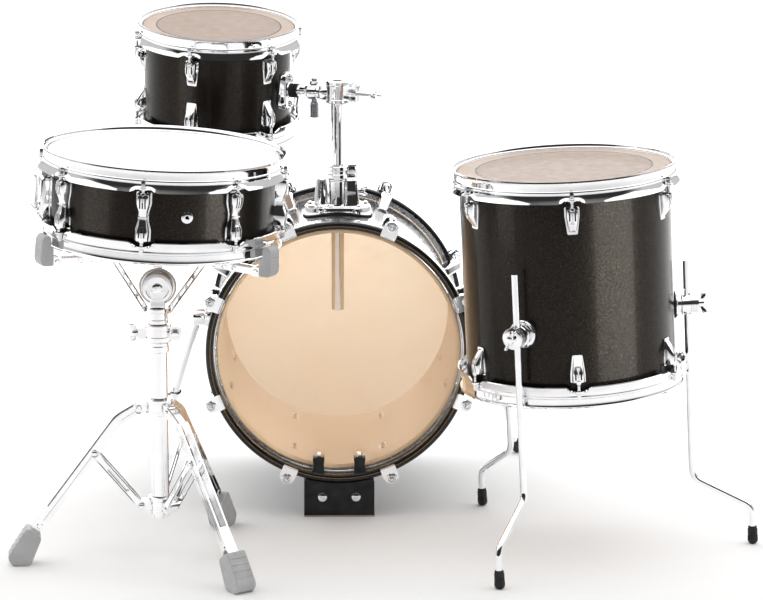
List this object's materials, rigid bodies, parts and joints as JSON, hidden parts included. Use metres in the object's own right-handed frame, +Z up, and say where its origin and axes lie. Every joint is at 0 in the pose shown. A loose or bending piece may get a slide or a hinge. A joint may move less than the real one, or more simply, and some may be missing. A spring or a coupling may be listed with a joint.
{
  "type": "acoustic drum kit",
  "caption": "Compact acoustic drum kit with a bass drum, tom mount, rack tom, floor tom, snare drum and snare stand.",
  "frame": {"origin": "middle of the riser's base plate, on the floor under the bass drum's player-side hoop", "axes": "+X to the player's right, +Y from the player to the audience along the bass drum, +Z up"},
  "size_m": [1.2005, 0.8984, 0.8191],
  "materials": {
    "sparkle_wrap": "maple ply shell under black sparkle wrap, high gloss",
    "clear_film": "clear and cream polyester film with aluminium rim",
    "tan_film": "translucent tan polyester film with aluminium rim",
    "white_film": "white coated polyester film with aluminium rim",
    "black_lacquer": "gloss black lacquer with a thin gold line",
    "chrome": "polished chrome",
    "plated_steel": "bright plated steel",
    "black_steel": "satin black paint",
    "rubber": "matt black rubber",
    "stand_chrome": "pale bright chrome with light grey rubber feet and grips"
  },
  "bodies": {
    "kit_frame": {"bass_shell": "sparkle_wrap", "bass_heads": "clear_film", "bass_hoops": "black_lacquer", "bass_lugs": "chrome", "bass_claws": "chrome", "bass_tension_rods": "plated_steel", "bass_screws": "chrome", "bass_riser": "black_steel", "spur_brackets": "chrome", "mount_gasket": "rubber", "mount_base": "chrome", "floor_shell": "sparkle_wrap", "floor_heads": "tan_film", "floor_hoops": "chrome", "floor_lugs": "chrome", "floor_tension_rods": "plated_steel", "leg_brackets": "chrome", "stand_tube": "stand_chrome"},
    "right_spur": {"spur_tube_right": "chrome"},
    "right_spur_rod": {"spur_rod_right": "chrome"},
    "left_spur": {"spur_tube_left": "chrome"},
    "left_spur_rod": {"spur_rod_left": "chrome"},
    "mount_wing": {"mount_wing_screw": "chrome"},
    "post": {"mount_post": "chrome"},
    "clamp": {"tom_clamp": "chrome"},
    "clamp_wing": {"clamp_wing_nut": "chrome"},
    "rack_tom": {"rack_bracket": "chrome", "rack_shell": "sparkle_wrap", "rack_heads": "tan_film", "rack_hoops": "chrome", "rack_lugs": "chrome", "rack_tension_rods": "plated_steel"},
    "right_floor_leg": {"leg_right": "chrome"},
    "back_floor_leg": {"leg_back": "chrome"},
    "front_floor_leg": {"leg_front": "chrome"},
    "right_leg_wing": {"leg_wing_right": "chrome"},
    "back_leg_wing": {"leg_wing_back": "chrome"},
    "front_leg_wing": {"leg_wing_front": "chrome"},
    "tripod_slider": {"tripod_slider": "stand_chrome"},
    "tripod_leg_a": {"tripod_leg_a": "stand_chrome"},
    "tripod_leg_b": {"tripod_leg_b": "stand_chrome"},
    "tripod_leg_c": {"tripod_leg_c": "stand_chrome"},
    "tripod_brace_a": {"tripod_brace_a": "stand_chrome"},
    "tripod_brace_b": {"tripod_brace_b": "stand_chrome"},
    "tripod_brace_c": {"tripod_brace_c": "stand_chrome"},
    "stand_height_tube": {"height_tube": "stand_chrome"},
    "stand_wing": {"height_wing": "stand_chrome"},
    "basket": {"basket_frame": "stand_chrome", "snare_shell": "sparkle_wrap", "snare_heads": "white_film", "snare_hoops": "chrome", "snare_lugs": "chrome", "snare_tension_rods": "plated_steel", "snare_fittings": "chrome"},
    "basket_nut": {"basket_struts": "stand_chrome"},
    "basket_arm_a": {"basket_arm_a": "stand_chrome"},
    "basket_arm_b": {"basket_arm_b": "stand_chrome"},
    "basket_arm_c": {"basket_arm_c": "stand_chrome"},
    "strainer_lever": {"snare_lever": "chrome"},
    "snare_wire_set": {"snare_wires": "plated_steel"}
  },
  "joints": [
    {"name": "right_spur_fold", "type": "hinge", "parent": "kit_frame", "child": "right_spur", "pos_m": [0.24, 0.177, 0.3], "axis": [1, 0, 0], "range_deg": [0, 52]},
    {"name": "right_spur_extend", "type": "slide", "parent": "right_spur", "child": "right_spur_rod", "axis": [0.2212, 0.6031, -0.7664], "range_m": [-0.08, 0.05]},
    {"name": "left_spur_fold", "type": "hinge", "parent": "kit_frame", "child": "left_spur", "pos_m": [-0.24, 0.177, 0.3], "axis": [1, 0, 0], "range_deg": [0, 52]},
    {"name": "left_spur_extend", "type": "slide", "parent": "left_spur", "child": "left_spur_rod", "axis": [-0.2212, 0.6031, -0.7664], "range_m": [-0.08, 0.05]},
    {"name": "mount_wing_turn", "type": "hinge", "parent": "kit_frame", "child": "mount_wing", "pos_m": [0.037, 0.1815, 0.516], "axis": [1, 0, 0], "continuous": true},
    {"name": "post_height", "type": "slide", "parent": "kit_frame", "child": "post", "axis": [0, 0, 1], "range_m": [0, 0.12]},
    {"name": "tom_swivel", "type": "hinge", "parent": "post", "child": "clamp", "pos_m": [0, 0.1815, 0.684], "axis": [0, 0, 1], "range_deg": [-60, 25]},
    {"name": "tom_tilt", "type": "hinge", "parent": "clamp", "child": "rack_tom", "pos_m": [0, 0.1815, 0.684], "axis": [-0.9174, 0.398, 0], "range_deg": [-20, 25]},
    {"name": "clamp_wing_turn", "type": "hinge", "parent": "clamp", "child": "clamp_wing", "pos_m": [0.05688, 0.15682, 0.684], "axis": [0.9174, -0.398, 0], "continuous": true},
    {"name": "right_leg_height", "type": "slide", "parent": "kit_frame", "child": "right_floor_leg", "axis": [-0.0516, -0.0227, 0.9984], "range_m": [-0.03, 0.09]},
    {"name": "right_leg_wing_turn", "type": "hinge", "parent": "kit_frame", "child": "right_leg_wing", "pos_m": [0.5692, -0.2088, 0.39799], "axis": [0.9987, 0, 0.0516], "continuous": true},
    {"name": "back_leg_height", "type": "slide", "parent": "kit_frame", "child": "back_floor_leg", "axis": [-0.0516, -0.0227, 0.9984], "range_m": [-0.03, 0.09]},
    {"name": "back_leg_wing_turn", "type": "hinge", "parent": "kit_frame", "child": "back_leg_wing", "pos_m": [0.26115, -0.03088, 0.38611], "axis": [-0.5003, 0.8658, -0.0062], "continuous": true},
    {"name": "front_leg_height", "type": "slide", "parent": "kit_frame", "child": "front_floor_leg", "axis": [-0.0516, -0.0227, 0.9984], "range_m": [-0.03, 0.09]},
    {"name": "front_leg_wing_turn", "type": "hinge", "parent": "kit_frame", "child": "front_leg_wing", "pos_m": [0.26156, -0.38672, 0.37804], "axis": [-0.4983, -0.8658, -0.0454], "continuous": true},
    {"name": "tripod_fold", "type": "slide", "parent": "kit_frame", "child": "tripod_slider", "axis": [0, 0, 1], "range_m": [0, 0.05]},
    {"name": "tripod_leg_a_fold", "type": "hinge", "parent": "tripod_slider", "child": "tripod_leg_a", "pos_m": [-0.27083, -0.24083, 0.247], "axis": [-0.9114, 0.4115, 0], "range_deg": [0, 32.5]},
    {"name": "tripod_leg_b_fold", "type": "hinge", "parent": "tripod_slider", "child": "tripod_leg_b", "pos_m": [-0.31584, -0.27318, 0.247], "axis": [0.0993, -0.9951, 0], "range_deg": [0, 32.5]},
    {"name": "tripod_leg_c_fold", "type": "hinge", "parent": "tripod_slider", "child": "tripod_leg_c", "pos_m": [-0.26533, -0.29599, 0.247], "axis": [0.8121, 0.5835, 0], "range_deg": [0, 32.5]},
    {"name": "tripod_brace_a_fold", "type": "hinge", "parent": "kit_frame", "child": "tripod_brace_a", "pos_m": [-0.27165, -0.24266, 0.09], "axis": [0.9114, -0.4115, 0], "range_deg": [0, 27]},
    {"name": "tripod_brace_b_fold", "type": "hinge", "parent": "kit_frame", "child": "tripod_brace_b", "pos_m": [-0.31385, -0.27298, 0.09], "axis": [-0.0993, 0.9951, 0], "range_deg": [0, 27]},
    {"name": "tripod_brace_c_fold", "type": "hinge", "parent": "kit_frame", "child": "tripod_brace_c", "pos_m": [-0.26649, -0.29436, 0.09], "axis": [-0.8121, -0.5835, 0], "range_deg": [0, 27]},
    {"name": "stand_height", "type": "slide", "parent": "kit_frame", "child": "stand_height_tube", "axis": [0, 0, 1], "range_m": [0, 0.15]},
    {"name": "stand_wing_turn", "type": "hinge", "parent": "kit_frame", "child": "stand_wing", "pos_m": [-0.3155, -0.27, 0.367], "axis": [-1, 0, 0], "continuous": true},
    {"name": "snare_tilt", "type": "hinge", "parent": "stand_height_tube", "child": "basket", "pos_m": [-0.284, -0.258, 0.438], "axis": [0, 1, 0], "range_deg": [-20, 25]},
    {"name": "basket_grip", "type": "slide", "parent": "basket", "child": "basket_nut", "axis": [-0.0549, 0.0401, -0.9977], "range_m": [0, 0.03]},
    {"name": "basket_arm_a_open", "type": "hinge", "parent": "basket", "child": "basket_arm_a", "pos_m": [-0.28127, -0.21598, 0.48769], "axis": [-0.9985, 0, 0.055], "range_deg": [0, 30.5]},
    {"name": "basket_arm_b_open", "type": "hinge", "parent": "basket", "child": "basket_arm_b", "pos_m": [-0.29863, -0.24596, 0.48744], "axis": [0.4973, -0.8653, -0.0622], "range_deg": [0, 30.5]},
    {"name": "basket_arm_c_open", "type": "hinge", "parent": "basket", "child": "basket_arm_c", "pos_m": [-0.26404, -0.24596, 0.48553], "axis": [0.5012, 0.8653, 0.0072], "range_deg": [0, 30.5]},
    {"name": "strainer_throw", "type": "hinge", "parent": "basket", "child": "strainer_lever", "pos_m": [-0.46903, -0.29404, 0.57106], "axis": [0.2731, -0.9605, -0.0537], "range_deg": [0, 80]},
    {"name": "snare_wires_drop", "type": "slide", "parent": "basket", "child": "snare_wire_set", "axis": [-0.0549, 0.0401, -0.9977], "range_m": [0, 0.002]}
  ],
  "couplings": [
    {"joint": "tripod_leg_a_fold", "follows": "tripod_fold", "rad_per_m": 11.17},
    {"joint": "tripod_leg_b_fold", "follows": "tripod_fold", "rad_per_m": 11.17},
    {"joint": "tripod_leg_c_fold", "follows": "tripod_fold", "rad_per_m": 11.17},
    {"joint": "tripod_brace_a_fold", "follows": "tripod_fold", "rad_per_m": 9.32},
    {"joint": "tripod_brace_b_fold", "follows": "tripod_fold", "rad_per_m": 9.32},
    {"joint": "tripod_brace_c_fold", "follows": "tripod_fold", "rad_per_m": 9.32},
    {"joint": "basket_arm_a_open", "follows": "basket_grip", "rad_per_m": 17.45},
    {"joint": "basket_arm_b_open", "follows": "basket_grip", "rad_per_m": 17.45},
    {"joint": "basket_arm_c_open", "follows": "basket_grip", "rad_per_m": 17.45},
    {"joint": "strainer_throw", "follows": "snare_wires_drop", "rad_per_m": 697}
  ]
}
